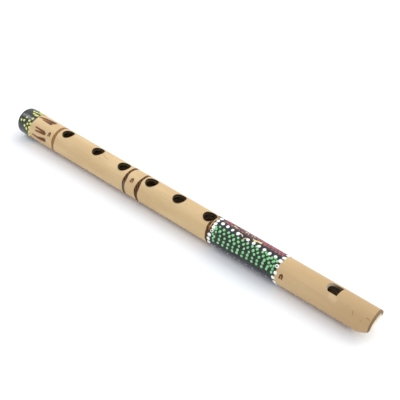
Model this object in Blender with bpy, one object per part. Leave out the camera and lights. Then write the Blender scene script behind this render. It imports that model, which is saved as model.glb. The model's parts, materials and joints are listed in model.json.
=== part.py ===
"""A bamboo duct flute with six finger holes, lying on its underside with the holes up.

X runs along the tube, from the foot at -X to the mouthpiece at +X, and +Z is up, through the finger
holes. The origin lies on the surface that the flute rests on, under the middle of its length.
All lengths are in metres.
"""
import math

import bmesh
import bpy

# Tube: it tapers slightly towards the mouthpiece, as the bamboo grew
TUBE_LENGTH = 0.330
FOOT_RADIUS = 0.0107
MOUTH_RADIUS = 0.0093
WALL = 0.0021
SIDES = 24

# Finger holes, in one line along the top, burnt through the wall
FINGER_HOLES = (-0.1117, -0.0767, -0.0482, -0.0195, 0.0075, 0.0356)
FINGER_HOLE_RADIUS = 0.0044
FINGER_HOLE_SIDES = 20

# Window: straight where the air comes in, round at the labium, where the ramp rises to the outside
WINDOW_STRAIGHT_END = 0.1382
WINDOW_WIDTH = 0.0080
WINDOW_SIDE_LENGTH = 0.0052
WINDOW_ROUND_DEPTH = 0.0026
RAMP_LENGTH = 0.0005
WINDOW_ARC_STEPS = 10

# Mouth end: nearly square over its upper half, with a beak cut away below for the player's chin
END_TILT = math.radians(4.0)
BEAK_LIP_RISE = 0.0008
BEAK_LENGTH = 0.0140

# Block: the wooden plug that fills the bore from the window to the lip. It is flat on top, where the
# windway narrows from the mouth end to the window
BLOCK_GAP = 0.0003
WINDWAY_MOUTH_HEIGHT = 0.0022
WINDWAY_EXIT_HEIGHT = 0.0012
BLOCK_SIDES = 24

# Burnt rings, as shallow grooves: where each is centred and how wide it is
BURNT_RINGS = (
    (-0.1209, 0.0017),
    (-0.0402, 0.0020),
    (-0.0269, 0.0022),
    (0.0396, 0.0008),
    (0.0416, 0.0008),
)
RING_DEPTH = 0.0002

# Paint: two thick coats, each lying in a shallow recess of its own
COAT_THICKNESS = 0.0003
COAT_GAP = 0.0003
COAT_SINK = 0.0001
FOOT_COAT = (-0.1648, -0.1486)
BAND_COAT = (0.0430, 0.0975)

CUTTER_MARGIN = 0.004


def remove_scene_objects():
    for scene_object in list(bpy.data.objects):
        bpy.data.objects.remove(scene_object)


def outer_radius(x):
    """Radius of the tube's outside, corner to corner, at the place x along it."""
    share = x / TUBE_LENGTH + 0.5
    return FOOT_RADIUS + (MOUTH_RADIUS - FOOT_RADIUS) * share


def bore_radius(x):
    return outer_radius(x) - WALL


def axis_height(x):
    """Height of the tube's axis, so that the lowest flat of the tapered tube lies on z = 0."""
    return outer_radius(x) * math.cos(math.pi / SIDES)


def make_material(name, colour, roughness):
    material = bpy.data.materials.new(name)
    material.use_nodes = True
    shader = material.node_tree.nodes["Principled BSDF"]
    shader.inputs["Base Color"].default_value = (*colour, 1.0)
    shader.inputs["Roughness"].default_value = roughness
    shader.inputs["Metallic"].default_value = 0.0
    return material


def make_object(name, build_mesh, material=None):
    """Turn a bmesh into a named object with its faces pointing out."""
    bmesh.ops.recalc_face_normals(build_mesh, faces=build_mesh.faces)
    mesh = bpy.data.meshes.new(name)
    build_mesh.to_mesh(mesh)
    build_mesh.free()
    made = bpy.data.objects.new(name, mesh)
    bpy.context.scene.collection.objects.link(made)
    if material is not None:
        mesh.materials.append(material)
        mesh.shade_smooth()
        mesh.set_sharp_from_angle(angle=math.radians(30))
    return made


def make_cutter(name, build_mesh):
    cutter = make_object(name, build_mesh)
    cutter.hide_render = True
    cutter.display_type = 'WIRE'
    return cutter


def cut(target, cutter):
    modifier = target.modifiers.new(cutter.name, 'BOOLEAN')
    modifier.operation = 'DIFFERENCE'
    modifier.solver = 'EXACT'
    modifier.object = cutter


def add_round(build_mesh, x, radius):
    """One ring of corners round the tube's axis, with a flat between two corners at the bottom."""
    corners = []
    for side in range(SIDES):
        angle = 2 * math.pi * (side + 0.5) / SIDES
        y = radius * math.sin(angle)
        z = axis_height(x) - radius * math.cos(angle)
        corners.append(build_mesh.verts.new((x, y, z)))
    return corners


def join_loops(build_mesh, first, second):
    """Close the strip between two loops of the same number of corners."""
    count = len(first)
    for side in range(count):
        following = (side + 1) % count
        build_mesh.faces.new((first[side], first[following], second[following], second[side]))


def turned_body(name, section, material):
    """Turn a closed section, given as (x, radius) corners, round the tube's axis."""
    build_mesh = bmesh.new()
    rounds = [add_round(build_mesh, x, radius) for x, radius in section]
    for index, this_round in enumerate(rounds):
        join_loops(build_mesh, this_round, rounds[(index + 1) % len(rounds)])
    return make_object(name, build_mesh, material)


def prism(near_outline, far_outline):
    """Close a body between two outlines with the same number of corners."""
    build_mesh = bmesh.new()
    near = [build_mesh.verts.new(corner) for corner in near_outline]
    far = [build_mesh.verts.new(corner) for corner in far_outline]
    join_loops(build_mesh, near, far)
    build_mesh.faces.new(near)
    build_mesh.faces.new(list(reversed(far)))
    return build_mesh


def sunk_span(start, end, depth):
    """Corners of the outside where it drops by depth between start and end."""
    return [
        (start, outer_radius(start)),
        (start, outer_radius(start) - depth),
        (end, outer_radius(end) - depth),
        (end, outer_radius(end)),
    ]


def tube_section():
    """The wall's section: the outside from foot to mouth, then the bore back to the foot."""
    recess = COAT_THICKNESS + COAT_GAP
    foot_x = -TUBE_LENGTH / 2
    mouth_x = TUBE_LENGTH / 2 + CUTTER_MARGIN / 2
    foot_recess_end = FOOT_COAT[1] + COAT_GAP
    section = [
        (foot_x, outer_radius(foot_x) - recess),
        (foot_recess_end, outer_radius(foot_recess_end) - recess),
        (foot_recess_end, outer_radius(foot_recess_end)),
    ]
    for centre, width in BURNT_RINGS:
        section += sunk_span(centre - width / 2, centre + width / 2, RING_DEPTH)
    section += sunk_span(BAND_COAT[0] - COAT_GAP, BAND_COAT[1] + COAT_GAP, recess)
    section.append((mouth_x, outer_radius(mouth_x)))
    section.append((mouth_x, bore_radius(mouth_x)))
    section.append((foot_x, bore_radius(foot_x)))
    return section


def coat_section(start, end):
    """Section of a paint coat that lies just under the level of the bare tube beside it."""
    outside = [(x, outer_radius(x) - COAT_SINK) for x in (start, end)]
    inside = [(x, outer_radius(x) - COAT_SINK - COAT_THICKNESS) for x in (end, start)]
    return outside + inside


def finger_hole_cutters():
    build_mesh = bmesh.new()
    for x in FINGER_HOLES:
        low = axis_height(x)
        high = low + outer_radius(x) + CUTTER_MARGIN
        loops = []
        for z in (low, high):
            loop = []
            for side in range(FINGER_HOLE_SIDES):
                angle = 2 * math.pi * (side + 0.5) / FINGER_HOLE_SIDES
                across = FINGER_HOLE_RADIUS * math.sin(angle)
                along = FINGER_HOLE_RADIUS * math.cos(angle)
                loop.append(build_mesh.verts.new((x + along, across, z)))
            loops.append(loop)
        join_loops(build_mesh, loops[0], loops[1])
        build_mesh.faces.new(loops[0])
        build_mesh.faces.new(list(reversed(loops[1])))
    return make_cutter("finger_hole_cutters", build_mesh)


def window_outline(round_end, z):
    """Straight towards the mouth and along both sides, and half an oval that ends at round_end."""
    oval_start = WINDOW_STRAIGHT_END - WINDOW_SIDE_LENGTH
    outline = [(WINDOW_STRAIGHT_END, -WINDOW_WIDTH / 2, z), (WINDOW_STRAIGHT_END, WINDOW_WIDTH / 2, z)]
    for step in range(WINDOW_ARC_STEPS + 1):
        angle = math.pi * step / WINDOW_ARC_STEPS
        x = oval_start - (oval_start - round_end) * math.sin(angle)
        outline.append((x, WINDOW_WIDTH / 2 * math.cos(angle), z))
    return outline


def window_cutter():
    """The window shortens inwards on its round side, which leaves the ramp up from the labium."""
    axis_z = axis_height(WINDOW_STRAIGHT_END)
    bore_roof = axis_z + bore_radius(WINDOW_STRAIGHT_END)
    outside = axis_z + outer_radius(WINDOW_STRAIGHT_END)
    outer_end = WINDOW_STRAIGHT_END - WINDOW_SIDE_LENGTH - WINDOW_ROUND_DEPTH
    slope = RAMP_LENGTH / (outside - bore_roof)
    low = bore_roof - CUTTER_MARGIN / 4
    high = outside + CUTTER_MARGIN / 4
    low_outline = window_outline(outer_end + slope * (outside - low), low)
    high_outline = window_outline(outer_end - slope * (high - outside), high)
    return make_cutter("window_cutter", prism(low_outline, high_outline))


def mouth_cutter():
    """What is cut off the mouth end, seen from the side: past the tilted end face and under the beak."""
    end_x = TUBE_LENGTH / 2
    top = 2 * axis_height(end_x)
    lip_z = axis_height(end_x) + BEAK_LIP_RISE
    lip_x = end_x - (top - lip_z) * math.tan(END_TILT)
    beak_slope = BEAK_LENGTH / lip_z
    outside_x = end_x + 2 * CUTTER_MARGIN
    side_view = [
        (outside_x, top + CUTTER_MARGIN),
        (end_x + CUTTER_MARGIN * math.tan(END_TILT), top + CUTTER_MARGIN),
        (lip_x, lip_z),
        (lip_x - BEAK_LENGTH - CUTTER_MARGIN * beak_slope, -CUTTER_MARGIN),
        (outside_x, -CUTTER_MARGIN),
    ]
    half_width = FOOT_RADIUS + CUTTER_MARGIN
    near = [(x, -half_width, z) for x, z in side_view]
    far = [(x, half_width, z) for x, z in side_view]
    return make_cutter("mouth_cutter", prism(near, far))


def block_outline(x, windway_height):
    """Round below to fit the bore, and flat on top where the air passes."""
    radius = bore_radius(x) - BLOCK_GAP
    flat_height = bore_radius(x) - windway_height
    flat_angle = math.acos(flat_height / radius)
    outline = []
    for side in range(BLOCK_SIDES + 1):
        angle = flat_angle + (2 * math.pi - 2 * flat_angle) * side / BLOCK_SIDES
        y = radius * math.sin(angle)
        z = axis_height(x) + radius * math.cos(angle)
        outline.append((x, y, z))
    return outline


def make_block(material):
    mouth_x = TUBE_LENGTH / 2 + CUTTER_MARGIN / 2
    window_end = block_outline(WINDOW_STRAIGHT_END, WINDWAY_EXIT_HEIGHT)
    mouth_end = block_outline(mouth_x, WINDWAY_MOUTH_HEIGHT)
    build_mesh = prism(window_end, mouth_end)
    return make_object("block", build_mesh, material)


def main():
    remove_scene_objects()
    bamboo = make_material("bamboo", (0.62, 0.44, 0.24), 0.5)
    pale_wood = make_material("pale_wood", (0.68, 0.52, 0.33), 0.65)
    band_black = make_material("band_black", (0.03, 0.03, 0.035), 0.4)
    foot_grey = make_material("foot_grey", (0.07, 0.07, 0.08), 0.4)

    mouth_end = mouth_cutter()
    tube = turned_body("tube", tube_section(), bamboo)
    for cutter in (finger_hole_cutters(), window_cutter(), mouth_end):
        cut(tube, cutter)
    cut(make_block(pale_wood), mouth_end)
    turned_body("band_paint", coat_section(*BAND_COAT), band_black)
    turned_body("foot_paint", coat_section(*FOOT_COAT), foot_grey)


main()
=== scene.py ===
"""Visual model of a small bamboo duct flute with burnt marks and dot painting, built round its CAD frame.

The flute lies along X with its foot at -X and its finger holes up. A place on the tube is given by x and by
turn, the angle in degrees from the front (-Y) over the top (90) to the back. Lengths are in metres, but the
tables of burnt and painted marks are in millimetres.
"""
import json
import math
import random
from collections import namedtuple

import bmesh
import bpy
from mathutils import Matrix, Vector, noise


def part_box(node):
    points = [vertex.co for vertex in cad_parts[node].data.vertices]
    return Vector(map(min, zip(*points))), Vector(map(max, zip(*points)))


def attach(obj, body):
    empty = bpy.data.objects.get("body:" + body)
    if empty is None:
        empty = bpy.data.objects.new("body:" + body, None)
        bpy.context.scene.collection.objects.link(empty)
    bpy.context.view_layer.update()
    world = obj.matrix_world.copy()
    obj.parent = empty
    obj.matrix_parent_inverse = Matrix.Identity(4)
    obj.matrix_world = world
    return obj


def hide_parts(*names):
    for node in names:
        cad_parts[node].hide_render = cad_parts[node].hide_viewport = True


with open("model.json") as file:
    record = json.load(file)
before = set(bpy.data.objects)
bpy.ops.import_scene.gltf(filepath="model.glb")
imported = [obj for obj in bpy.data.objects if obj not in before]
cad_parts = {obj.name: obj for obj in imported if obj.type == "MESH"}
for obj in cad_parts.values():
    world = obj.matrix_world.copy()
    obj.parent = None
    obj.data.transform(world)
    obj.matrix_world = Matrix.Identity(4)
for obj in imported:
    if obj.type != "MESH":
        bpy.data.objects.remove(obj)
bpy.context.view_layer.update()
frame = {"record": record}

MM = 0.001
TUBE_LOW, TUBE_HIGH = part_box("tube")
BAND_LOW, BAND_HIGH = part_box("band_paint")
_, FOOT_COAT_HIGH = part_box("foot_paint")
BLOCK_LOW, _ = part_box("block")
FOOT_X = TUBE_LOW.x
MOUTH_X = TUBE_HIGH.x
OPENINGS = {row["name"]: row["box_m"] for row in frame["record"]["physics"]["openings"]}

# The round tube fits inside the flats of the CAD's 24-sided one, so it rests on the same floor
FLAT = math.cos(math.pi / 24)
FOOT_RADIUS = 10.7 * MM * FLAT
MOUTH_RADIUS = 9.3 * MM * FLAT
WALL = 2.1 * MM
KNOT_RISE = 0.12 * MM
KNOT_X = FOOT_X + 7.5 * MM
KNOT_HALF = 6.5 * MM
WAVINESS = 0.13 * MM
WAVES_PER_METRE = 30

# Mesh of the tube: columns run along it, lines run round it
COLUMNS = 96
LINE_STEP = 1.2 * MM
FINE_STEP = 0.28 * MM
OPENING_STEP = 0.65 * LINE_STEP
LEAST_GAP = 0.02 * MM
HOLE_COLUMNS = 11
HOLE_MARGIN = 1.0 * MM
PATCH_RINGS = 3
WALL_RINGS = 4
EDGE_STEPS = 4
# A rounded edge as (how far down, how far still out), both as shares of its radius
EDGE_ANGLES = [math.pi / 2 * step / EDGE_STEPS for step in range(EDGE_STEPS + 1)]
ROUND_EDGE = [(1 - math.cos(angle), 1 - math.sin(angle)) for angle in EDGE_ANGLES]

HOLE_RADIUS = 4.4 * MM
HOLE_EDGE = 0.35 * MM
HOLE_UNEVENNESS = 0.018
FAR_OFF = 20 * MM

# Window: straight towards the mouth, half an oval towards the foot, and cut a little askew
WINDOW_END = OPENINGS["window"][1][0] + 0.75 * MM
WINDOW_SIDE = 5.7 * MM
WINDOW_OVAL = 3.3 * MM
WINDOW_FRONT = -3.95 * MM
WINDOW_BACK = 4.0 * MM
WINDOW_SKEW = 0.05
WINDOW_EDGE = 0.18 * MM
RAMP_LEAN = 0.7 * MM
RAMP_START = 1.2 * MM
RAMP_NARROWING = 0.06

# Mouth end: tilted, a little askew, and cut away below as a beak
END_TILT = math.tan(math.radians(4))
END_SKEW = 1.3 / 18.4
LIP_RISE = 0.8 * MM
BEAK_LENGTH = 14 * MM
MOUTH_EDGE = 0.32 * MM
FOOT_EDGE = 1.1 * MM
BORE_EDGE = 0.25 * MM
END_BLEND = 22 * MM

# The plug and the windway over it
WINDWAY_EXIT = 1.2 * MM
WINDWAY_MOUTH = 2.2 * MM
BLOCK_GAP = 0.06 * MM
BLOCK_SETBACK = 0.1 * MM
BLOCK_HALF_STEPS = 20
BLOCK_LINES = 12
BLOCK_SOFTENING = 0.2 * MM
SHARP_ANGLE = math.radians(40)

# Burnt rings. x and half give the middle and half width, and low_bend, lean and waver say how far the line
# strays below, round lean_turn and all the way round, all in mm. The line is widest at the turn given by
# thick, and swing is the share by which its width changes
Ring = namedtuple("Ring", "x half low_bend lean lean_turn waver thick swing")
RINGS = (
    Ring(-120.4, 1.35, -3.0, 0.2, 30, 0.1, 40, 0.15),
    Ring(-39.9, 1.25, 0.0, 0.5, -8, 0.12, 20, 0.25),
    Ring(-26.9, 1.35, 0.0, 0.7, -20, 0.22, 25, 0.7),
    Ring(39.9, 0.95, 0.0, 1.0, -15, 0.15, 20, 0.4),
    Ring(41.9, 0.6, 0.0, 0.4, -15, 0.15, 20, 0.3),
)
RING_DEPTH = 0.14 * MM
RING_REACH = 2.2 * MM


def smooth_step(share):
    share = min(max(share, 0.0), 1.0)
    return share * share * (3 - 2 * share)


def radius_at(x):
    """Radius of the plain tapered tube."""
    share = (x - FOOT_X) / (MOUTH_X - FOOT_X)
    return FOOT_RADIUS + (MOUTH_RADIUS - FOOT_RADIUS) * share


def ring_line(ring, turn):
    """Where a burnt ring runs at this turn."""
    angle = math.radians(turn)
    low = max(0.0, -math.sin(angle))
    lean = max(0.0, math.cos(angle - math.radians(ring.lean_turn))) ** 2
    waver = math.sin(3 * angle + ring.x) + 0.6 * math.sin(7 * angle + 2 * ring.x)
    return (ring.x + ring.low_bend * low + ring.lean * lean + ring.waver * waver) * MM


def ring_half_width(ring, turn):
    angle = math.radians(turn)
    thick = max(0.0, math.cos(angle - math.radians(ring.thick))) ** 3
    swell = 1.0 - ring.swing / 2 + ring.swing * thick + 0.1 * math.sin(5 * angle + ring.x)
    return ring.half * MM * swell


def ring_distance(x, turn):
    """Distance to the nearest burnt ring's middle, as a share of its half width."""
    return min(abs(x - ring_line(ring, turn)) / ring_half_width(ring, turn) for ring in RINGS)


def unevenness(x, turn):
    """How far the skin stands off the plain tube. The line that the flute rests on stays straight."""
    angle = math.radians(turn)
    free = 0.5 + 0.5 * math.sin(angle)
    wave = noise.noise(Vector((x * WAVES_PER_METRE, 0.9 * math.cos(angle), 0.9 * math.sin(angle) + 5)))
    knot = math.exp(-(((x - KNOT_X) / KNOT_HALF) ** 2))
    return free * (WAVINESS * wave + KNOT_RISE * knot)


def place(x, turn, radius):
    angle = math.radians(turn)
    return Vector((x, -radius * math.cos(angle), radius_at(x) + radius * math.sin(angle)))


def skin_point(x, turn):
    groove = RING_DEPTH * (1 - smooth_step(ring_distance(x, turn)))
    return place(x, turn, radius_at(x) + unevenness(x, turn) - groove)


def bore_radius(x):
    return radius_at(x) - WALL


def bore_point(x, turn):
    return place(x, turn, bore_radius(x))


def depth_at(point):
    """How far a point lies under the plain skin."""
    return radius_at(point.x) - math.hypot(point.y, point.z - radius_at(point.x))


def turn_of(column):
    return -90 + 360 * column / COLUMNS


def turn_under(y, radius):
    """Turn of the point that lies y across the flute, on the upper half of a surface of this radius."""
    return 90 + math.degrees(math.asin(y / radius))


def mouth_end(turn, radius):
    """Where the mouth end is cut, at this turn and this distance from the axis."""
    point = place(MOUTH_X, turn, radius)
    top = 2 * MOUTH_RADIUS
    lip_z = MOUTH_RADIUS + LIP_RISE
    askew = (point.y + MOUTH_RADIUS) * END_SKEW
    tilted = MOUTH_X - (top - point.z) * END_TILT - askew
    lip_x = MOUTH_X - (top - lip_z) * END_TILT - askew
    beak = lip_x - (lip_z - point.z) * BEAK_LENGTH / lip_z
    return min(tilted, beak)


def to_mouth_end(x, turn, radius, setback):
    """Move a line of the mesh near the mouth so that the last one follows the cut."""
    start = MOUTH_X - END_BLEND
    if x <= start:
        return x
    share = (x - start) / (MOUTH_X - start)
    return start + share * (mouth_end(turn, radius) - setback - start)


class RoundHole:
    """A finger hole, burnt through by hand, so it isn't quite round."""

    edge = HOLE_EDGE

    def __init__(self, x, number):
        self.x = x
        self.start = x - HOLE_RADIUS - HOLE_MARGIN
        self.end = x + HOLE_RADIUS + HOLE_MARGIN
        self.number = number

    def outline(self, rim, grow):
        """The edge as (x, y) places, one for each place on the rim of the patch round the hole."""
        points = []
        for u, v in rim:
            angle = math.atan2(v, u)
            uneven = math.sin(2 * angle + self.number) + 0.5 * math.sin(5 * angle + 2.3 * self.number)
            radius = HOLE_RADIUS * (1 + HOLE_UNEVENNESS * uneven) + grow
            points.append((self.x + radius * math.cos(angle), radius * math.sin(angle)))
        return points

    def lower_outline(self, outline):
        """A finger hole goes straight down."""
        return outline


class Window:
    """The sound window: one straight end, two sides and half an oval."""

    edge = WINDOW_EDGE

    def __init__(self):
        self.start = WINDOW_END - WINDOW_SIDE - WINDOW_OVAL - HOLE_MARGIN
        self.end = WINDOW_END + HOLE_MARGIN

    def outline(self, rim, grow):
        """The straight end takes the rim's places there. The rest are spaced evenly round the other sides."""
        straight = [v for u, v in rim if u > 0.999]
        middle = (WINDOW_BACK + WINDOW_FRONT) / 2
        half = (WINDOW_BACK - WINDOW_FRONT) / 2 + grow
        points = []
        for v in straight:
            y = middle + half * v
            points.append((WINDOW_END + grow + WINDOW_SKEW * y, y))
        oval_x = WINDOW_END - WINDOW_SIDE
        depth = WINDOW_OVAL + grow
        side = points[-1][0] - oval_x
        other_side = points[0][0] - oval_x
        oval = math.pi * math.sqrt((depth * depth + half * half) / 2)
        count = len(rim) - len(straight)
        for step in range(1, count + 1):
            along = (side + oval + other_side) * step / (count + 1)
            if along < side:
                points.append((oval_x + side - along, middle + half))
            elif along < side + oval:
                angle = math.pi * (0.5 + (along - side) / oval)
                points.append((oval_x + depth * math.cos(angle), middle + half * math.sin(angle)))
            else:
                points.append((oval_x + along - side - oval, middle - half))
        return points

    def lower_outline(self, outline):
        """The opening's outline in the bore: the oval side leans in and narrows, as a ramp."""
        lower = []
        for x, y in outline:
            lean = smooth_step((WINDOW_END - WINDOW_SIDE + RAMP_START - x) / (WINDOW_OVAL + RAMP_START))
            lower.append((x + RAMP_LEAN * lean, y * (1 - RAMP_NARROWING * lean)))
        return lower


HOLES = [
    RoundHole((OPENINGS[name][0][0] + OPENINGS[name][1][0]) / 2, number)
    for number, name in enumerate(sorted(OPENINGS))
    if name.startswith("finger_hole")
]
CUT_OUTS = [*HOLES, Window()]


def char_distance(point):
    """Distance from the edge of the nearest finger hole, seen from above. Far off below the axis."""
    if point.z < radius_at(point.x):
        return FAR_OFF
    return min(math.hypot(point.x - hole.x, point.y) - HOLE_RADIUS for hole in HOLES)


def add_to_scene(name, content):
    """A new object with this mesh, light or camera."""
    made = bpy.data.objects.new(name, content)
    bpy.context.scene.collection.objects.link(made)
    return made


def face_outwards(mesh, weld=0.0):
    """Turn all faces outwards, after joining corners that lie within the weld distance."""
    build_mesh = bmesh.new()
    build_mesh.from_mesh(mesh)
    if weld:
        bmesh.ops.remove_doubles(build_mesh, verts=build_mesh.verts, dist=weld)
    bmesh.ops.recalc_face_normals(build_mesh, faces=build_mesh.faces)
    build_mesh.to_mesh(mesh)
    build_mesh.free()


class Shell:
    """Corners and faces of one piece, and the turn of each corner."""

    def __init__(self):
        self.points = []
        self.turns = []
        self.faces = []

    def corner(self, point, turn):
        self.points.append(point)
        self.turns.append(turn)
        return len(self.points) - 1

    def strip(self, first, second, closed=True):
        """Close the gap between two rows of the same number of corners."""
        count = len(first)
        for index in range(count if closed else count - 1):
            following = (index + 1) % count
            self.faces.append((first[index], first[following], second[following], second[index]))

    def loft(self, rows):
        """Close the gaps between rows in turn. The last row is returned."""
        for first, second in zip(rows, rows[1:]):
            self.strip(first, second)
        return rows[-1]

    def to_object(self, name):
        mesh = bpy.data.meshes.new(name)
        mesh.from_pydata(self.points, [], self.faces)
        face_outwards(mesh)
        mesh.shade_smooth()
        self.mark_corners(mesh)
        return add_to_scene(name, mesh)

    def mark_corners(self, mesh):
        """Store x and the distance round the tube, in mm, at each face corner, with no jump at the seam."""
        layer = mesh.attributes.new("on_skin", 'FLOAT_VECTOR', 'CORNER')
        for face in mesh.polygons:
            turns = [self.turns[mesh.loops[loop].vertex_index] for loop in face.loop_indices]
            highest = max(turns)
            for loop, turn in zip(face.loop_indices, turns):
                x = self.points[mesh.loops[loop].vertex_index].x
                if highest - turn > 180:
                    turn += 360
                layer.data[loop].vector = (x / MM, math.radians(turn) * radius_at(x) / MM, 0)


def line_places():
    """Where the lines round the tube lie: finer at the burnt rings and fitted to the openings."""
    stops = [FOOT_X + FOOT_EDGE, MOUTH_X]
    for ring in RINGS:
        stops += [ring.x * MM - RING_REACH, ring.x * MM + RING_REACH]
    for cut_out in CUT_OUTS:
        stops += [cut_out.start, cut_out.end]
    stops.sort()
    places = []
    for start, end in zip(stops, stops[1:]):
        if end - start < LEAST_GAP:
            continue
        middle = (start + end) / 2
        if any(abs(middle - ring.x * MM) < RING_REACH for ring in RINGS):
            step = FINE_STEP
        elif any(cut_out.start < middle < cut_out.end for cut_out in CUT_OUTS):
            step = OPENING_STEP
        else:
            step = LINE_STEP
        count = math.ceil((end - start) / step)
        places += [start + (end - start) * index / count for index in range(count)]
    places.append(MOUTH_X)
    return places


def patch_rim(cut_out, places):
    """The grid corners round an opening, as (line, column) from the mouth side on, their shares and span."""
    first = min(range(len(places)), key=lambda line: abs(places[line] - cut_out.start))
    last = min(range(len(places)), key=lambda line: abs(places[line] - cut_out.end))
    low = COLUMNS // 2 - HOLE_COLUMNS
    high = COLUMNS // 2 + HOLE_COLUMNS
    rim = [(last, column) for column in range(low, high + 1)]
    rim += [(line, high) for line in range(last - 1, first - 1, -1)]
    rim += [(first, column) for column in range(high - 1, low - 1, -1)]
    rim += [(line, low) for line in range(first + 1, last)]
    shares = []
    for line, column in rim:
        u = 2 * (places[line] - places[first]) / (places[last] - places[first]) - 1
        v = (column - COLUMNS / 2) / HOLE_COLUMNS
        shares.append((u, v))
    return rim, shares, (first, last, low, high)


def build_tube():
    shell = Shell()
    places = line_places()
    rims = [patch_rim(cut_out, places) for cut_out in CUT_OUTS]
    spans = [span for _, _, span in rims]

    def surface(point_at, radius_of, setback):
        """The skin or the bore as a grid, with the openings left out."""
        grid = []
        for line, x in enumerate(places):
            row = []
            for column in range(COLUMNS):
                inside = any(a < line < b and c < column < d for a, b, c, d in spans)
                turn = turn_of(column)
                here = to_mouth_end(x, turn, radius_of(x), setback)
                row.append(None if inside else shell.corner(point_at(here, turn), turn))
            grid.append(row)
        for line in range(len(places) - 1):
            for column in range(COLUMNS):
                if any(a <= line < b and c <= column < d for a, b, c, d in spans):
                    continue
                following = (column + 1) % COLUMNS
                corners = (grid[line][column], grid[line][following])
                shell.faces.append((*corners, grid[line + 1][following], grid[line + 1][column]))
        return grid

    skin = surface(skin_point, radius_at, MOUTH_EDGE)
    bore = surface(bore_point, bore_radius, BORE_EDGE)

    def ease_in(grid, rim, outline, point_at, radius_of):
        """Rings of faces between the grid and an opening's outline. The last ring is returned."""
        rings = [[grid[line][column] for line, column in rim]]
        for step in range(1, PATCH_RINGS + 1):
            share = step / PATCH_RINGS
            ring = []
            for (line, column), (x, y) in zip(rim, outline):
                turn = turn_of(column)
                turn += (turn_under(y, radius_of(x)) - turn) * share
                here = places[line] + (x - places[line]) * share
                ring.append(shell.corner(point_at(here, turn), turn))
            rings.append(ring)
        return shell.loft(rings)

    for cut_out, (rim, shares, _) in zip(CUT_OUTS, rims):
        edge = cut_out.edge
        rings = [ease_in(skin, rim, cut_out.outline(shares, edge), skin_point, radius_at)]
        for drop, out in ROUND_EDGE[1:]:
            ring = []
            for x, y in cut_out.outline(shares, edge * out):
                turn = turn_under(y, radius_at(x))
                ring.append(shell.corner(skin_point(x, turn) - Vector((0, 0, edge * drop)), turn))
            rings.append(ring)
        outline = cut_out.lower_outline(cut_out.outline(shares, 0))
        below = [bore_point(x, turn_under(y, bore_radius(x))) for x, y in outline]
        above = [(shell.points[corner], shell.turns[corner]) for corner in ring]
        walls = list(zip(above, below))
        for step in range(1, WALL_RINGS):
            share = step / WALL_RINGS
            rings.append([shell.corner(high.lerp(low, share), turn) for (high, turn), low in walls])
        shell.loft([*rings, ease_in(bore, rim, outline, bore_point, bore_radius)])

    def end_rings(first, last, cut_at, radius, edge, direction):
        """Round the outer and inner edges of an end and close its face."""
        profile = [(edge * drop, edge * out) for drop, out in ROUND_EDGE[1:]]
        profile.append((WALL / 2, 0.0))
        profile += [(WALL - BORE_EDGE * out, BORE_EDGE * drop) for drop, out in ROUND_EDGE[:-1]]
        rings = [first]
        for depth, setback in profile:
            ring = []
            for column in range(COLUMNS):
                turn = turn_of(column)
                x = cut_at(turn, radius - depth) - direction * setback
                stand_off = unevenness(x, turn) * (1 - depth / WALL)
                ring.append(shell.corner(place(x, turn, radius_at(x) - depth + stand_off), turn))
            rings.append(ring)
        shell.loft([*rings, last])

    end_rings(skin[-1], bore[-1], mouth_end, MOUTH_RADIUS, MOUTH_EDGE, 1)
    end_rings(skin[0], bore[0], lambda turn, radius: FOOT_X, FOOT_RADIUS, FOOT_EDGE, -1)

    def from_mouth(point, turn):
        return mouth_end(turn, radius_at(point.x) - depth_at(point)) - point.x

    # What the material reads at each corner. Lengths are in mm
    measures = {
        "ring": lambda point, turn: ring_distance(point.x, turn),
        "char": lambda point, turn: char_distance(point) / MM,
        "depth": lambda point, turn: depth_at(point) / MM,
        "height": lambda point, turn: point.z / radius_at(point.x),
        "from_mouth": lambda point, turn: from_mouth(point, turn) / MM,
    }
    tube = shell.to_object("bamboo_tube")
    for name, measure in measures.items():
        layer = tube.data.attributes.new(name, 'FLOAT', 'POINT')
        for index, turn in enumerate(shell.turns):
            layer.data[index].value = measure(shell.points[index], turn)
    return tube


def build_block():
    """The plug under the windway: round below, flat on top, cut off with the tube's mouth end."""
    shell = Shell()
    loops = []
    for line in range(BLOCK_LINES + 1):
        share = line / BLOCK_LINES
        x = BLOCK_LOW.x + (MOUTH_X - BLOCK_LOW.x) * share
        radius = bore_radius(x) - BLOCK_GAP
        windway = WINDWAY_EXIT + (WINDWAY_MOUTH - WINDWAY_EXIT) * share
        flat_turn = math.degrees(math.asin((bore_radius(x) - windway) / radius))
        fronts = []
        backs = []
        for step in range(BLOCK_HALF_STEPS + 1):
            turn = flat_turn - (flat_turn + 90) * step / BLOCK_HALF_STEPS
            for side_turn, side in ((turn, fronts), (180 - turn, backs)):
                end = mouth_end(side_turn, radius) - BLOCK_SETBACK
                here = BLOCK_LOW.x + (end - BLOCK_LOW.x) * share
                side.append(shell.corner(place(here, side_turn, radius), side_turn))
        loops.append((fronts, backs))
    for (fronts, backs), (next_fronts, next_backs) in zip(loops, loops[1:]):
        shell.strip(fronts, next_fronts, closed=False)
        shell.strip(next_backs, backs, closed=False)
        shell.faces.append((backs[0], fronts[0], next_fronts[0], next_backs[0]))
    for fronts, backs in (loops[0], loops[-1]):
        shell.strip(fronts, backs, closed=False)
    block = shell.to_object("fipple_block")
    face_outwards(block.data, weld=0.002 * MM)
    soften = block.modifiers.new("soft_edges", 'BEVEL')
    soften.width = BLOCK_SOFTENING
    soften.segments = 2
    soften.limit_method = 'ANGLE'
    soften.angle_limit = SHARP_ANGLE
    block.data.set_sharp_from_angle(angle=SHARP_ANGLE)
    return block


# Coats of paint
COAT_LIFT = 0.1 * MM
COAT_SINK = 0.01 * MM
COAT_EDGE = 0.35 * MM
COAT_ROOT = 0.18 * MM
COAT_STEP = 1.4 * MM
FOOT_COAT_LENGTH = 16 * MM
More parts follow.
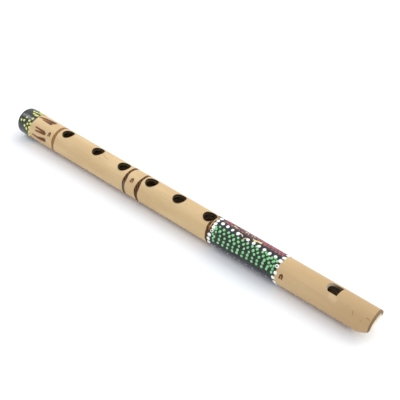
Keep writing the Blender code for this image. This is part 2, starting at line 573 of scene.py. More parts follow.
# How a coat rises at its edge: distance in from the edge as a share of COAT_EDGE, and share of the lift
COAT_RISE = ((0.0, 0.1), (0.25, 0.7), (1.0, 1.0))
# How the foot coat wraps the tube's foot: distance from the foot and rise over the plain skin, in mm
FOOT_WRAP = ((-0.02, -1.15), (-0.05, -0.85), (0.02, -0.52), (0.2, -0.24), (0.5, -0.03))
FOOT_WRAP_INSIDE = ((1.2, -0.28), (0.4, -1.15))
FOOT_WRAP_END = 1.0 * MM


def under_fade(turn, reach):
    """0 along the line that the flute rests on, 1 from some way up its sides."""
    return smooth_step((math.sin(math.radians(turn)) + 1) / reach)


def coat_lift(turn):
    """The coat thins out under the flute, where it rests."""
    return COAT_LIFT * under_fade(turn, 0.35) - COAT_SINK


def on_coat(x, turn, lift):
    """A place on the coat, or on paint that stands this far off it."""
    radius = radius_at(x) + unevenness(x, turn) + coat_lift(turn)
    return place(x, turn, radius + lift * under_fade(turn, 0.2))


def build_coat(name, length, end_at, start_at=None):
    """A thick coat whose ends stray with the turn. Without a start it wraps the tube's foot."""
    shell = Shell()
    columns = []
    for column in range(COLUMNS):
        turn = turn_of(column)
        end = end_at(turn)
        lift = coat_lift(turn)
        if start_at is None:
            section = [(FOOT_X + along * MM, rise * MM) for along, rise in FOOT_WRAP]
            section.append((FOOT_X + FOOT_WRAP_END, lift))
        else:
            start = start_at(turn)
            section = [(start, -COAT_ROOT)]
            section += [(start + along * COAT_EDGE, rise * lift) for along, rise in COAT_RISE]
        first = section[-1][0]
        last = end - COAT_EDGE
        count = math.ceil(length / COAT_STEP)
        section += [(first + (last - first) * step / count, lift) for step in range(1, count)]
        section += [(end - along * COAT_EDGE, rise * lift) for along, rise in reversed(COAT_RISE)]
        section.append((end, -COAT_ROOT))
        if start_at is None:
            section += [(FOOT_X + along * MM, rise * MM) for along, rise in FOOT_WRAP_INSIDE]
        corners = []
        for x, rise in section:
            radius = radius_at(x) + unevenness(x, turn) + rise
            corners.append(shell.corner(place(x, turn, radius), turn))
        columns.append(corners)
    shell.loft([*columns, columns[0]])
    return shell.to_object(name)


def stray(turn, seed, reach):
    """A wandering edge, in metres, that closes on itself round the tube."""
    angle = math.radians(turn)
    return reach * noise.noise(Vector((1.6 * math.cos(angle) + seed, 1.6 * math.sin(angle), seed)))


# Drops and brush strokes of thick paint on the coats
DOT_SIDES = 14
# From a drop's foot to its top: share of its size and share of its height
DOT_PROFILE = ((1.0, -0.35), (0.97, 0.25), (0.86, 0.62), (0.62, 0.88), (0.3, 0.98))
# Across a stroke: share of its half width and share of its height
STROKE_PROFILE = (
    (-1.0, -0.3), (-0.92, 0.35), (-0.55, 0.9), (0.0, 1.0), (0.55, 0.9), (0.92, 0.35), (1.0, -0.3)
)
STROKE_STEPS = 5


class Paint(Shell):
    """Paint put on by hand. Every x and length that it is given is in mm."""

    def __init__(self, seed):
        super().__init__()
        self.draw = random.Random(seed).uniform

    def near(self, reach):
        return self.draw(-reach, reach)

    def dot(self, x, turn, size, height, stretch=1.0, slant=0.0):
        """A drop, a little out of round."""
        x, size, height = x * MM, size * MM, height * MM
        lobe = self.draw(0, math.tau)
        uneven = self.draw(0.03, 0.1)
        radius = radius_at(x)
        rings = []
        for share, rise in DOT_PROFILE:
            ring = []
            for side in range(DOT_SIDES):
                angle = math.tau * side / DOT_SIDES
                reach = size * share * (1 + uneven * math.sin(2 * angle + lobe))
                along = reach * stretch * math.cos(angle)
                across = reach * math.sin(angle)
                here = x + along * math.cos(slant) - across * math.sin(slant)
                aside = along * math.sin(slant) + across * math.cos(slant)
                here_turn = turn + math.degrees(aside / radius)
                ring.append(self.corner(on_coat(here, here_turn, height * rise), here_turn))
            rings.append(ring)
        self.loft(rings)
        top = self.corner(on_coat(x, turn, height), turn)
        for side in range(DOT_SIDES):
            self.faces.append((rings[-1][side], rings[-1][(side + 1) % DOT_SIDES], top))
        self.faces.append(tuple(reversed(rings[0])))

    def stroke(self, route, half_width, height):
        """A brush stroke along a short route of (x, turn) places, thin at both ends."""
        route = [(x * MM, turn) for x, turn in route]
        half_width, height = half_width * MM, height * MM
        steps = STROKE_STEPS * (len(route) - 1)
        dense = []
        for step in range(steps + 1):
            along = step / steps * (len(route) - 1)
            index = min(int(along), len(route) - 2)
            share = along - index
            (x0, t0), (x1, t1) = route[index], route[index + 1]
            dense.append((x0 + (x1 - x0) * share, t0 + (t1 - t0) * share))
        rows = []
        for index, (x, turn) in enumerate(dense):
            before = dense[max(index - 1, 0)]
            after = dense[min(index + 1, steps)]
            radius = radius_at(x)
            run = Vector((after[0] - before[0], math.radians(after[1] - before[1]) * radius)).normalized()
            ends = min(1.0, 0.35 + 2.6 * math.sin(math.pi * (index + 0.35) / (steps + 0.7)))
            width = half_width * ends * self.draw(0.92, 1.08)
            row = []
            for side, rise in STROKE_PROFILE:
                here = x - run.y * width * side
                here_turn = turn + math.degrees(run.x * width * side / radius)
                row.append(self.corner(on_coat(here, here_turn, height * rise), here_turn))
            rows.append(row)
        self.loft(rows)
        self.faces.append(tuple(rows[0]))
        self.faces.append(tuple(reversed(rows[-1])))

    def rows(self, table, jitter, height, gap=None):
        """Rows of drops along the band, each a little out of place. One row may have a gap of one drop."""
        for row_number, (left, right, x, step, size) in enumerate(table):
            number = 0
            while x < ROWS_END:
                share = (x - ROWS_START) / ROWS_LENGTH
                turn = left + (right - left) * share + self.near(1) * jitter * TURN_JITTER
                here = x + self.near(1) * jitter
                scale = self.draw(0.88, 1.1)
                if (row_number, number) != gap:
                    self.dot(here, turn, size * scale, height)
                x += step
                number += 1


# Rows of drops along the band: turn at the left end, turn at the right end, first x, step and size
ROWS_START = 45
ROWS_LENGTH = 50
ROWS_END = 95.2
TURN_JITTER = 6
GREEN_ROWS = (
    (8, 18, 51.4, 3.95, 0.95),
    (23, 31, 47.4, 3.95, 0.95),
    (38, 44, 51.4, 3.95, 0.95),
    (52, 56, 49.4, 3.95, 0.96),
    (66, 66, 51.4, 3.95, 0.96),
)
BACK_GREEN_ROWS = ((168, 164, 47.2, 4.0, 0.97), (183, 179, 49.1, 3.8, 0.95), (199, 194, 47.8, 4.1, 0.93))
WHITE_ROWS = ((88, 75, 47.4, 4.45, 1.28), (152, 149, 48.2, 4.6, 1.22))
WHITE_GAP = (0, 4)
# Green drops between the rows
GREEN_EXTRAS = (
    (45.3, 61), (47.6, 68), (44.9, 48), (47.1, 43), (46.3, 54), (45.6, 30), (46.6, 15), (47.2, 6),
    (77.4, 74), (85.3, 72), (89.2, 60), (93.3, 58), (92.9, 71), (92.8, 38),
)
# White drops at the band's two ends as (x, turn), then the first turn, step and count of those behind
EDGE_DOTS = (
    (
        ((43.3, 108), (43.2, 88), (43.4, 70), (43.8, 55), (44.0, 40), (43.2, 21), (43.0, 3), (43.2, -14)),
        127, 20, 10,
    ),
    (((96.7, 119), (97.0, 92), (96.6, 72), (96.7, 49), (97.4, 24), (96.5, 0), (97.4, -22)), 141, 22, 9),
)
DARK_CENTRES = ((44.0, 40), (96.7, 49))
# A row of specks low on the front: first x, step in x, turn and how many
LOW_SPECKS = (48.5, 5.3, -20, 9)
# Rows of red dashes: turn at the left end, turn at the right end and where the first one starts
RED_ROWS = (
    (102, 98, 46.4), (109, 105.5, 48.0), (116, 113, 46.2),
    (123, 121, 47.3), (130.5, 129, 46.0), (138, 137, 47.6),
)
RED_START = 46
RED_END = 95.0
YELLOW_ROUTES = (
    ((73.4, 88), (74.4, 94), (75.6, 98), (77.8, 102)),
    ((71.8, 93), (73.4, 95), (75.2, 96)),
    ((74.8, 97), (77.0, 96.5), (78.6, 99)),
    ((54.0, 109), (55.4, 110)),
    ((63.2, 113), (64.4, 115)),
)
ORANGE_ROUTES = (
    ((60.8, 76), (61.2, 84), (62.8, 88), (64.4, 85), (65.0, 79)),
    ((66.8, 72), (67.2, 80), (68.7, 84.5), (70.2, 81), (70.6, 74)),
)
ORANGE_SPECKS = 14
# Drops on the side of the foot that is seen with the holes up: x and turn
FOOT_DOTS = (
    (-157.5, 101), (-154.8, 89), (-151.9, 86), (-150.1, 88), (-152.3, 107), (-149.8, 108), (-150.9, 64),
    (-158.0, 40), (-161.1, 36), (-152.6, 49), (-153.0, 33), (-149.9, 40), (-155.9, 20), (-153.3, 11),
    (-150.0, 23), (-150.3, 1), (-152.8, -29), (-151.0, -14), (-154.6, 103), (-157.0, 56),
)
# Rows of drops round the rest of the foot: x, first turn, step in turn and how many
FOOT_ROWS = ((-150.0, 128, 21, 8), (-152.8, 122, 24, 7), (-156.0, 135, 38, 4), (-159.4, 128, 47, 3))
GREEN_HEIGHT = 0.3
WHITE_HEIGHT = 0.36
EDGE_HEIGHT = 0.35


def build_green_dots():
    """Three rows behind, five in front, and drops where the front rows leave room."""
    paint = Paint(7)
    paint.rows(GREEN_ROWS, 0.24, GREEN_HEIGHT)
    paint.rows(BACK_GREEN_ROWS, 0.4, GREEN_HEIGHT)
    for x, turn in GREEN_EXTRAS:
        paint.dot(x, turn, 0.86, 0.28)
    return paint.to_object("green_dots")


def build_white_dots():
    """A row on each side of the red area, a ring at each end of the band, and specks low on the front."""
    paint = Paint(11)
    paint.rows(WHITE_ROWS, 0.25, WHITE_HEIGHT, WHITE_GAP)
    for places, first, step, count in EDGE_DOTS:
        for x, turn in places:
            paint.dot(x, turn, paint.draw(1.2, 1.4), EDGE_HEIGHT, 1.05)
        for number in range(count):
            turn = first + step * number + paint.near(3)
            x = places[0][0] + paint.near(0.4)
            paint.dot(x, turn, paint.draw(1.15, 1.45), EDGE_HEIGHT, 1.05)
    start, step, turn, count = LOW_SPECKS
    for number in range(count):
        x = start + step * number + paint.near(0.9)
        paint.dot(x, turn + paint.near(4), paint.draw(0.22, 0.36), 0.12, 1.5)
    return paint.to_object("white_dots")


def build_dark_centres():
    """Two white drops carry a small dark one."""
    paint = Paint(3)
    for x, turn in DARK_CENTRES:
        paint.dot(x, turn, 0.68, 0.52)
    return paint.to_object("dark_centres")


def build_red_dashes():
    """Short thick dashes laid like bricks, in rows along the top and back of the band."""
    paint = Paint(19)
    for left, right, start in RED_ROWS:
        x = start
        while x < RED_END:
            stop = min(x + paint.draw(1.6, 2.7), RED_END + 0.5)
            turn = left + (right - left) * (x - RED_START) / ROWS_LENGTH + paint.near(1.3)
            route = ((x, turn), (stop, turn + paint.near(2.0)))
            paint.stroke(route, paint.draw(0.46, 0.58), 0.2)
            x = stop + paint.draw(0.45, 0.9)
    return paint.to_object("red_dashes")


def build_yellow_strokes():
    paint = Paint(23)
    for route in YELLOW_ROUTES:
        paint.stroke(route, 0.48, 0.3)
    return paint.to_object("yellow_strokes")


def build_orange_arcs():
    """Two arcs over the front white row, and pale specks among the red dashes."""
    paint = Paint(29)
    for route in ORANGE_ROUTES:
        paint.stroke(route, 0.36, 0.28)
    for _ in range(ORANGE_SPECKS):
        x, turn = paint.draw(52, 73), paint.draw(99, 122)
        paint.dot(x, turn, paint.draw(0.24, 0.4), 0.3, 1.4)
    return paint.to_object("orange_arcs")


def build_foot_dots():
    paint = Paint(41)
    for x, turn in FOOT_DOTS:
        stretch = paint.draw(1.0, 1.35)
        slant = paint.near(0.8)
        paint.dot(x, turn, paint.draw(0.88, 1.1), 0.3, stretch, slant)
    for x, first, step, count in FOOT_ROWS:
        for number in range(count):
            turn = first + step * number + paint.near(0.25) * step
            here = x + paint.near(0.7)
            paint.dot(here, turn, paint.draw(0.95, 1.2), 0.28, 1.15)
    return paint.to_object("foot_dots")


# Materials
class Graph:
    """Short names for the nodes that the materials below are made of."""

    def __init__(self, name):
        self.material = bpy.data.materials.new(name)
        self.material.use_nodes = True
        self.tree = self.material.node_tree
        self.shader = self.tree.nodes["Principled BSDF"]

    def link(self, value, socket):
        if isinstance(value, bpy.types.NodeSocket):
            self.tree.links.new(value, socket)
        elif socket.type == 'RGBA':
            socket.default_value = (*value, 1.0)
        else:
            socket.default_value = value

    def finish(self, colour, roughness, specular=0.5, normal=None):
        """Connect the shader and return the finished material."""
        self.link(colour, self.shader.inputs["Base Color"])
        self.link(roughness, self.shader.inputs["Roughness"])
        self.shader.inputs["Specular IOR Level"].default_value = specular
        if normal is not None:
            self.link(normal, self.shader.inputs["Normal"])
        return self.material

    def node(self, kind, values, output=0, **settings):
        """An output of a new node. The values go to its inputs by name or number."""
        node = self.tree.nodes.new('ShaderNode' + kind)
        for name, setting in settings.items():
            setattr(node, name, setting)
        for name, value in values.items():
            self.link(value, node.inputs[name])
        return node.outputs[output]

    def math(self, operation, *values, clamp=False):
        return self.node('Math', dict(enumerate(values)), operation=operation, use_clamp=clamp)

    def vector(self, operation, *values, output="Vector"):
        return self.node('VectorMath', dict(enumerate(values)), output, operation=operation)

    def fade(self, value, start, end, low=0.0, high=1.0):
        """Goes smoothly from low to high as the value goes from start to end."""
        values = (value, start, end, low, high)
        return self.node('MapRange', dict(enumerate(values)), interpolation_type='SMOOTHSTEP')

    def mix(self, share, first, second):
        return self.node('Mix', {"Factor": share, "A": first, "B": second}, "Result", data_type='RGBA')

    def layers(self, colour, *layers):
        """Lay colours over the first one. Each covers nothing at the value's start and most at its end."""
        for over, value, start, end, *most in layers:
            colour = self.mix(self.fade(value, start, end, 0.0, *most), colour, over)
        return colour

    def off(self, value, middle):
        """How far a value is from the middle, whichever way."""
        return self.math('ABSOLUTE', self.math('SUBTRACT', value, middle))

    def attribute(self, name, output="Fac"):
        return self.node('Attribute', {}, output, attribute_name=name)

    def part(self, vector, axis):
        return self.node('SeparateXYZ', {0: vector}, axis)

    def stretched(self, scale):
        """Object coordinates, stretched by the scale given for each axis."""
        return self.vector('MULTIPLY', self.node('TexCoord', {}, "Object"), scale)

    def noise(self, scale, detail=3.0, roughness=0.55):
        values = {"Vector": self.stretched(scale), "Scale": 1.0, "Detail": detail, "Roughness": roughness}
        return self.node('TexNoise', values, "Fac")

    def bump(self, height, distance, strength, **normal):
        """Relief of a surface, over that of Normal if it is given. The distance is in mm."""
        values = {"Height": height, "Distance": distance * MM, "Strength": strength, **normal}
        return self.node('Bump', values, "Normal")

    def mark(self, spot, start, end, half_start, half_end):
        """Distance from a straight mark, as a share of the mark's half width there."""
        run = (end[0] - start[0], end[1] - start[1], 0)
        offset = self.vector('SUBTRACT', spot, (*start, 0))
        reached = self.vector('DOT_PRODUCT', offset, run, output="Value")
        along = self.math('DIVIDE', reached, run[0] ** 2 + run[1] ** 2, clamp=True)
        nearest = self.node('VectorMath', {0: run, "Scale": along}, "Vector", operation='SCALE')
        distance = self.vector('DISTANCE', offset, nearest, output="Value")
        half = self.math('MULTIPLY_ADD', along, half_end - half_start, half_start)
        return self.math('DIVIDE', distance, half)

    def nearest_mark(self, spot, marks):
        """The nearest mark's distance, as a share of its half width."""
        nearest = self.mark(spot, *marks[0])
        for mark in marks[1:]:
            nearest = self.math('MINIMUM', nearest, self.mark(spot, *mark))
        return nearest


SKIN_TAN = (0.58, 0.407, 0.212)
SKIN_PALE = (0.657, 0.484, 0.268)
SKIN_DARK = (0.45, 0.298, 0.151)
SKIN_YELLOW = (0.63, 0.5, 0.25)
SKIN_SPECK = (0.36, 0.2, 0.09)
SKIN_HANDLED = (0.43, 0.285, 0.145)
SKIN_PAINTED_SHADE = (0.36, 0.2, 0.1)
SHAVED_SKIN = (0.78, 0.62, 0.4)
RIM_DARK_BROWN = (0.18, 0.115, 0.055)
PAINTED_SHEEN_GREY = (0.135, 0.135, 0.115)
CUT_WOOD = (0.86, 0.78, 0.6)
CUT_GRAIN = (0.42, 0.33, 0.21)
WINDOW_WOOD = (0.47, 0.42, 0.31)
WINDOW_SHADE = (0.14, 0.095, 0.062)
MOUTH_WOOD = (0.21, 0.143, 0.078)
BORE_BROWN = (0.36, 0.265, 0.17)
BURN_BLACK = (0.034, 0.01, 0.001)
BURN_BROWN = (0.125, 0.036, 0.004)
BURN_LIGHT = (0.33, 0.165, 0.062)
BURN_FAINT = (0.36, 0.185, 0.075)
SCRATCH_BROWN = (0.19, 0.085, 0.04)
STREAK_BLACK = (0.032, 0.014, 0.012)
STREAK_BROWN = (0.11, 0.045, 0.024)
STREAK_TIP = (0.17, 0.062, 0.022)
STREAK_EDGE = (0.22, 0.082, 0.028)
STREAK_HALO = (0.36, 0.17, 0.07)
CHARCOAL = (0.018, 0.01, 0.006)
CHARCOAL_BROWN = (0.05, 0.038, 0.022)
HOLE_WALL = (0.15, 0.118, 0.072)
HOLE_WALL_DARK = (0.08, 0.062, 0.038)
PLUG_PALE = (0.84, 0.74, 0.55)
PLUG_GRAIN = (0.7, 0.57, 0.39)
PLUG_PORE = (0.5, 0.36, 0.2)

# Places along the flute that the bamboo's colours go by, in mm
WINDOW_SHADE_START = 131.5
WINDOW_MIDDLE = 134.5
MOUTH_CUT = (148, 152)
HANDLED = (60, 165)
FAINT_BURN = (-112, -114)
STREAK_TIPS = (-141, -134)
FOOT_RING = RINGS[0].x

# Burnt streaks behind the foot coat, as routes of (x, turn, half width in mm)
STREAKS = (
    ((-147.4, 89, 0.55), (-141.8, 97, 1.2), (-137.2, 99, 1.65), (-131.6, 102.5, 1.75)),
    ((-142.5, 86, 0.5), (-136.5, 85.5, 0.8), (-132.2, 87, 1.2)),
    ((-142.8, 40.5, 0.62), (-132.4, 38.5, 0.98)),
    ((-142.0, 26.5, 0.62), (-132.4, 31.0, 0.98)),
    ((-132.6, 37, 0.9), (-131.2, 34, 1.2)),
    ((-145.3, 2, 0.65), (-138.7, -2, 1.15), (-136.0, 1, 1.45), (-130.4, 6, 1.65)),
)
# Scratches and stains on the plain skin, each given like a streak
SCRATCHES = (
    ((-72.0, 88, 0.12), (-66.5, 79, 0.24), (-63.0, 78, 0.14)),
    ((-70.7, 64, 0.25), (-70.3, 64, 0.25)),
    ((-50.6, 136, 0.25), (-47.6, 136, 0.25)),
    ((15.3, 80, 0.35), (15.5, 80, 0.35)),
    ((30.0, 74.5, 0.3), (30.3, 74.5, 0.3)),
    ((151.2, 47, 0.24), (152.3, 36, 0.22)),
    ((160.3, 52, 0.32), (162.4, 49, 0.22)),
    ((157.9, 30, 0.24), (158.1, 30, 0.24)),
    ((147.8, 57, 0.22), (148.0, 57, 0.22)),
)
# A pale shaved spot before the window and a painted grey sheen on one burnt ring
SHAVING = ((135.6, 54, 2.4), (138.2, 50, 2.4))
RING_SHEEN = ((-39.6, 30, 0.95), (-39.4, -6, 0.95))
# Three small arch-shaped marks, as (x, turn), and the corners of an arch in mm round that place
ARCHES = ((-126.1, 43), (-33.3, 53), (101.9, 23))
ARCH_SHAPE = ((-1.0, -1.7), (-0.75, 0.4), (0.1, 1.05), (0.8, 0.3), (0.65, -1.4))
ARCH_HALF = (0.56, 0.6)


def arc_length(x, turn):
    return math.radians(turn) * radius_at(x * MM) / MM


def on_skin(*routes):
    """The straight marks of these routes, as (start, end, half width, next half width) on the flat skin."""
    marks = []
    for route in routes:
        laid = [((x, arc_length(x, turn)), half) for x, turn, half in route]
        marks += [(start, end, half, next_half) for (start, half), (end, next_half) in zip(laid, laid[1:])]
    return marks


def arch_marks():
    marks = []
    for x, turn in ARCHES:
        corners = [(x + along, arc_length(x, turn) + across) for along, across in ARCH_SHAPE]
        marks += [(start, end, *ARCH_HALF) for start, end in zip(corners, corners[1:])]
    return marks


class Bamboo(Graph):
    """The tube's skin, cut faces and bore, and everything that is burnt into it."""

    def __init__(self):
        super().__init__("bamboo_skin")
        self.fibres = self.noise((55, 1500, 1500), 4.0, 0.6)
        self.fine = self.noise((260, 5200, 5200), 2.0)
        self.cloudy = self.noise((60, 130, 130))
        self.ragged = self.noise((900, 1300, 1300), 3.0, 0.6)
        self.rough_edge = self.math('MULTIPLY_ADD', self.ragged, 0.9, -0.45)
        self.spot = self.attribute("on_skin", "Vector")
        self.along = self.part(self.spot, "X")
        self.height = self.attribute("height")
        self.depth = self.attribute("depth")

    def skin(self):
        """Tan, paler and darker along the fibres, browner near the mouth and at its rim, painted shade below.
        """
        rim = self.math('DIVIDE', self.attribute("from_mouth"), self.fade(self.height, 0.7, 1.5, 0.25, 1.25))
        return self.layers(
            SKIN_TAN,
            (SKIN_PALE, self.noise((14, 95, 95), 2.0), 0.35, 0.68),
            (SKIN_DARK, self.fibres, 0.42, 0.8, 0.38),
            (SKIN_YELLOW, self.cloudy, 0.56, 0.78, 0.3),
            (SKIN_SPECK, self.noise((420, 1500, 1500), 1.0), 0.73, 0.8, 0.5),
            (SKIN_HANDLED, self.along, *HANDLED, 0.75),
            # Painted shade: the skin darkens towards the line that the flute rests on
            (SKIN_PAINTED_SHADE, self.height, 0.58, 0.28, 0.7),
            (SHAVED_SKIN, self.nearest_mark(self.spot, on_skin(SHAVING)), 1.2, 0.2, 0.26),
            # A dark brown strip along the mouth's rim, widest on top
            (RIM_DARK_BROWN, rim, 1.2, 0.6, 0.88),
        )

    def under_skin(self, skin):
        """Cut wood where the bamboo is opened, darker at the window and the mouth, and the brown bore."""
        window_wall = self.layers(WINDOW_WOOD, (WINDOW_SHADE, self.along, WINDOW_SHADE_START, WINDOW_MIDDLE))
        wood = self.layers(CUT_WOOD, (window_wall, self.off(self.along, WINDOW_MIDDLE), 8.0, 6.0))
        at_mouth = self.math('MULTIPLY', self.fade(self.along, *MOUTH_CUT), self.fade(self.height, 0.25, 0.7))
        wood = self.layers(self.mix(at_mouth, wood, MOUTH_WOOD), (CUT_GRAIN, self.fine, 0.3, 0.7, 0.5))
        return self.layers(skin, (wood, self.depth, 0.22, 0.45), (BORE_BROWN, self.depth, 1.75, 2.05))

    def burnt_rings(self, colour):
        """Dark in the middle, and browner at the edges, in a hatching and where the iron went lightly."""
        ring = self.math('MULTIPLY_ADD', self.rough_edge, 0.6, self.attribute("ring"))
        hatching = self.vector('DOT_PRODUCT', self.spot, (2.6, 1.9, 0), output="Value")
        hatching = self.math('SINE', self.math('MULTIPLY_ADD', self.ragged, 1.6, hatching))
        how_hatched = self.fade(self.off(self.along, FOOT_RING), 4.0, 6.0, 0.85, 0.25)
        hatching = self.math('MULTIPLY', self.fade(hatching, 0.1, 0.9), how_hatched)
        burn = self.layers(BURN_BLACK, (BURN_BROWN, self.noise((20, 210, 210), 2.0), 0.44, 0.66))
        burn = self.layers(
            self.mix(hatching, burn, BURN_LIGHT),
            (BURN_LIGHT, ring, 0.85, 1.15),
            (BURN_FAINT, self.along, *FAINT_BURN, 0.55),
        )
        # Painted sheen: a grey highlight on the lower part of one burnt ring
        painted_sheen_mark = self.nearest_mark(self.spot, on_skin(RING_SHEEN))
        return self.layers(colour, (burn, ring, 1.25, 0.98, 0.97), (PAINTED_SHEEN_GREY, painted_sheen_mark, 1.0, 0.5, 0.75))

    def marked(self, colour, mark):
        """Scratches, streaks and arches. The last two are mark off, dark, with a brown edge and a halo."""
        core = self.layers(STREAK_BLACK, (STREAK_BROWN, self.cloudy, 0.42, 0.6))
        core = self.layers(STREAK_TIP, (core, self.along, *STREAK_TIPS), (STREAK_EDGE, mark, 0.4, 0.95))
        return self.layers(
            colour,
            (SCRATCH_BROWN, self.nearest_mark(self.spot, on_skin(*SCRATCHES)), 1.3, 0.4, 0.62),
            (STREAK_HALO, mark, 1.8, 0.95, 0.4),
            (core, mark, 1.15, 0.85, 0.95),
        )

    def charred_holes(self, colour):
        """Charred finger holes with a light scorch round them and browner walls."""
        char = self.math('ADD', self.attribute("char"), self.math('MULTIPLY', self.rough_edge, 0.35))
        charcoal = self.layers(CHARCOAL, (CHARCOAL_BROWN, self.ragged, 0.4, 0.7))
        wall = self.layers(HOLE_WALL, (HOLE_WALL_DARK, self.cloudy, 0.4, 0.62))
        charcoal = self.layers(charcoal, (wall, self.depth, 0.7, 1.3))
        in_wall = self.fade(self.depth, 1.9, 2.05, 1.0, 0.35)
        charred = self.math('MULTIPLY', self.fade(char, 0.58, 0.3), in_wall)
        return self.mix(charred, self.layers(colour, (BURN_LIGHT, char, 1.4, 0.35, 0.45)), charcoal)

    def build(self):
        """The finished material. Each layer of colour goes over the one before."""
        mark = self.nearest_mark(self.spot, on_skin(*STREAKS) + arch_marks())
        mark = self.math('ADD', mark, self.math('MULTIPLY', self.rough_edge, 0.28))
        colour = self.burnt_rings(self.under_skin(self.skin()))
        colour = self.charred_holes(self.marked(colour, mark))
        cut_roughness = self.fade(self.depth, 0.2, 0.5, 0.0, 0.75)
        roughness = self.math('MAXIMUM', self.fade(self.fibres, 0.25, 0.8, 0.4, 0.56), cut_roughness)
        relief = self.math('MULTIPLY_ADD', self.fine, 0.5, self.fibres)
        sunk = self.fade(mark, 0.3, 1.1)
        normal = self.bump(sunk, 0.08, 0.7, Normal=self.bump(relief, 0.06, 0.45))
        return self.finish(colour, roughness, 0.11, normal)


def wood_material():
    """The plug: pale wood with darker grain and pores."""
    graph = Graph("pale_block_wood")
    grain = graph.noise((70, 1100, 500), 4.0, 0.6)
    pores = graph.noise((500, 4200, 4200), 2.0)
    colour = graph.layers(PLUG_PALE, (PLUG_GRAIN, grain, 0.3, 0.72), (PLUG_PORE, pores, 0.66, 0.8, 0.35))
    return graph.finish(colour, graph.fade(grain, 0.2, 0.8, 0.58, 0.74), normal=graph.bump(grain, 0.08, 0.5))


# Colours of each coat: fresh, worn, lighter near the floor as a painted sheen, and of its light specks
BAND_COLOURS = ((0.008, 0.013, 0.009), (0.026, 0.029, 0.031), (0.125, 0.12, 0.155), (0.4, 0.38, 0.46))
FOOT_COLOURS = ((0.013, 0.018, 0.014), (0.034, 0.04, 0.036), (0.04, 0.048, 0.044), (0.38, 0.42, 0.46))
DROP_ROUGHNESS = 0.34
# The red dashes are dull for some way each side of this x, in mm
DULL_MIDDLE = 63


def paint_material(name, colours, roughness, speck_share):
    """Thick craft paint: brushed, uneven in gloss, with a few light specks and a painted sheen low down."""
    graph = Graph(name)
    fresh, worn, sheen_near_floor, speck = colours
    brushed = graph.noise((180, 900, 900), 3.0, 0.6)
    blotches = graph.noise((220, 260, 260), 2.0)
    specks = graph.noise((1500, 1500, 1500), 1.0)
    height = graph.part(graph.stretched((1000, 1000, 1000)), "Z")
    shade = graph.layers(
        fresh,
        (worn, brushed, 0.35, 0.75),
        # Painted sheen: the coat turns lighter low down, towards the floor
        (sheen_near_floor, height, 9.0, 5.0, 0.75),
        (speck, specks, 0.7, 0.78, speck_share),
    )
    rough = graph.fade(blotches, 0.3, 0.7, roughness - 0.08, roughness + 0.1)
    relief = graph.math('MULTIPLY_ADD', blotches, 1.5, brushed)
    return graph.finish(shade, rough, 0.4, graph.bump(relief, 0.14, 0.8))


def drop_material(name, colour, other, thin, dull=None):
    """Drops of paint that differ a little from each other and thin out in places."""
    graph = Graph(name)
    per_drop = graph.noise((230, 230, 230), 1.0)
    streaks = graph.noise((1300, 1300, 1300), 2.0)
    shade = graph.layers(colour, (other, per_drop, 0.38, 0.62))
    if dull is not None:
        along = graph.part(graph.stretched((1000, 1000, 1000)), "X")
        shade = graph.layers(shade, (dull, graph.off(along, DULL_MIDDLE), 13, 9, 0.85))
    shade = graph.layers(shade, (thin, streaks, 0.58, 0.85, 0.55))
    rough = graph.fade(streaks, 0.3, 0.7, DROP_ROUGHNESS - 0.06, DROP_ROUGHNESS + 0.12)
    return graph.finish(shade, rough, normal=graph.bump(streaks, 0.07, 0.5))


def floor_material():
    graph = Graph("pale_floor")
    cloudy = graph.noise((3, 3, 3), 2.0)
    colour = graph.layers((0.88, 0.88, 0.885), ((0.9, 0.9, 0.902), cloudy, 0.3, 0.7))
    return graph.finish(colour, 0.85, 0.2)


def finish_piece(piece, slot, material, *nodes):
    piece.data.materials.append(material)
    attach(piece, "root")
    if nodes:
        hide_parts(*nodes)


# What is painted on the coats: how it is built, its slot and its material's name, then the colour of a drop,
# of another drop and of thin paint, and for the dashes the dull colour
BAND, FOOT = "band_paint", "foot_paint"
PAINTED = (
    (build_green_dots, BAND, "green_drops", (0.19, 0.56, 0.2), (0.27, 0.63, 0.29), (0.05, 0.24, 0.06)),
    (build_white_dots, BAND, "white_drops", (0.86, 0.87, 0.84), (0.9, 0.89, 0.85), (0.58, 0.6, 0.55)),
    (build_dark_centres, BAND, "dark_drops", (0.02, 0.03, 0.04), (0.04, 0.04, 0.05), (0.01, 0.01, 0.01)),
    (
        build_red_dashes, BAND, "red_dashes",
        (0.42, 0.115, 0.14), (0.3, 0.075, 0.095), (0.12, 0.035, 0.045), (0.2, 0.085, 0.08),
    ),
    (build_yellow_strokes, BAND, "yellow_strokes", (0.8, 0.74, 0.3), (0.74, 0.7, 0.32), (0.4, 0.37, 0.14)),
    (build_orange_arcs, BAND, "orange_arcs", (0.72, 0.5, 0.3), (0.8, 0.68, 0.52), (0.34, 0.2, 0.1)),
    (build_foot_dots, FOOT, "lime_drops", (0.72, 0.74, 0.17), (0.62, 0.64, 0.17), (0.3, 0.32, 0.07)),
)
BAND_STRAY = 0.5 * MM
BAND_FAR_STRAY = 0.8 * MM
FOOT_STRAY = 2.4 * MM
FOOT_COAT_BACK = 0.3 * MM


def build_flute():
    finish_piece(build_tube(), "bamboo", Bamboo().build(), "tube")
    finish_piece(build_block(), "block_wood", wood_material(), "block")
    band = build_coat(
        "band_coat",
        BAND_HIGH.x - BAND_LOW.x,
        end_at=lambda turn: BAND_HIGH.x + stray(turn, 7.0, BAND_FAR_STRAY),
        start_at=lambda turn: BAND_LOW.x + stray(turn, 2.0, BAND_STRAY),
    )
    finish_piece(band, "band_paint", paint_material("band_black", BAND_COLOURS, 0.36, 0.5), "band_paint")
    foot = build_coat(
        "foot_coat",
        FOOT_COAT_LENGTH,
        end_at=lambda turn: FOOT_COAT_HIGH.x + stray(turn, 4.0, FOOT_STRAY) - FOOT_COAT_BACK,
    )
    finish_piece(foot, "foot_paint", paint_material("foot_grey", FOOT_COLOURS, 0.26, 0.35), "foot_paint")
    for build, slot, name, *colours in PAINTED:
        finish_piece(build(), slot, drop_material(name, *colours))


# Stage
FLOOR_HALF = 3.0
FLOOR_CELLS = 24
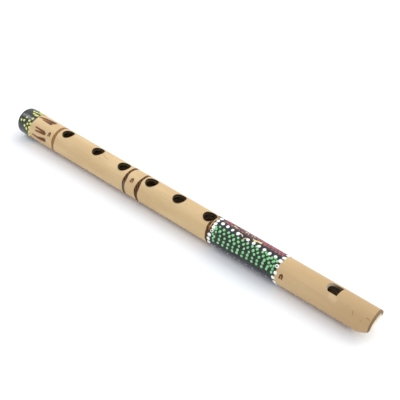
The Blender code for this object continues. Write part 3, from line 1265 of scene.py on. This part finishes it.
# Softboxes: name, place, what each points at, its side, power and colour
SOFTBOXES = (
    ("key_softbox", (0.55, 1.1, 1.45), (0, 0, 0), 1.7, 19, (1.0, 0.985, 0.96)),
    ("foot_softbox", (-0.9, -0.17, 0.72), (-0.16, 0, 0.01), 0.26, 1.7, (0.92, 0.95, 1.0)),
)
SKY_COLOUR = (0.93, 0.955, 1.0, 1.0)
SKY_STRENGTH = 1.0
CAMERA_PLACE = (0.28103, -0.27561, 0.31505)
CAMERA_TILT = 52.568
CAMERA_HEADING = 42.722
CAMERA_LENS = 64.254
SENSOR_WIDTH = 36.0


def make_floor():
    build_mesh = bmesh.new()
    bmesh.ops.create_grid(build_mesh, x_segments=FLOOR_CELLS, y_segments=FLOOR_CELLS, size=FLOOR_HALF)
    mesh = bpy.data.meshes.new("floor")
    build_mesh.to_mesh(mesh)
    build_mesh.free()
    mesh.materials.append(floor_material())
    floor = add_to_scene("floor", mesh)


def make_softbox(name, position, aim, side, power, colour):
    light = bpy.data.lights.new(name, 'AREA')
    light.shape = 'SQUARE'
    light.size = side
    light.energy = power
    light.color = colour
    lamp = add_to_scene(name, light)
    lamp.location = position
    lamp.rotation_euler = (Vector(aim) - Vector(position)).to_track_quat('-Z', 'Y').to_euler()


def make_stage():
    make_floor()
    for softbox in SOFTBOXES:
        make_softbox(*softbox)
    world = bpy.data.worlds.new("studio")
    world.use_nodes = True
    background = world.node_tree.nodes["Background"]
    background.inputs["Color"].default_value = SKY_COLOUR
    background.inputs["Strength"].default_value = SKY_STRENGTH
    bpy.context.scene.world = world
    bpy.context.scene.view_settings.view_transform = 'Standard'


def make_camera():
    camera = bpy.data.cameras.new("camera")
    camera.lens = CAMERA_LENS
    camera.sensor_width = SENSOR_WIDTH
    camera.clip_start = 0.01
    camera.clip_end = 20
    holder = add_to_scene("camera", camera)
    holder.location = CAMERA_PLACE
    holder.rotation_euler = (math.radians(CAMERA_TILT), 0, math.radians(CAMERA_HEADING))
    bpy.context.scene.camera = holder


make_camera()
build_flute()
make_stage()
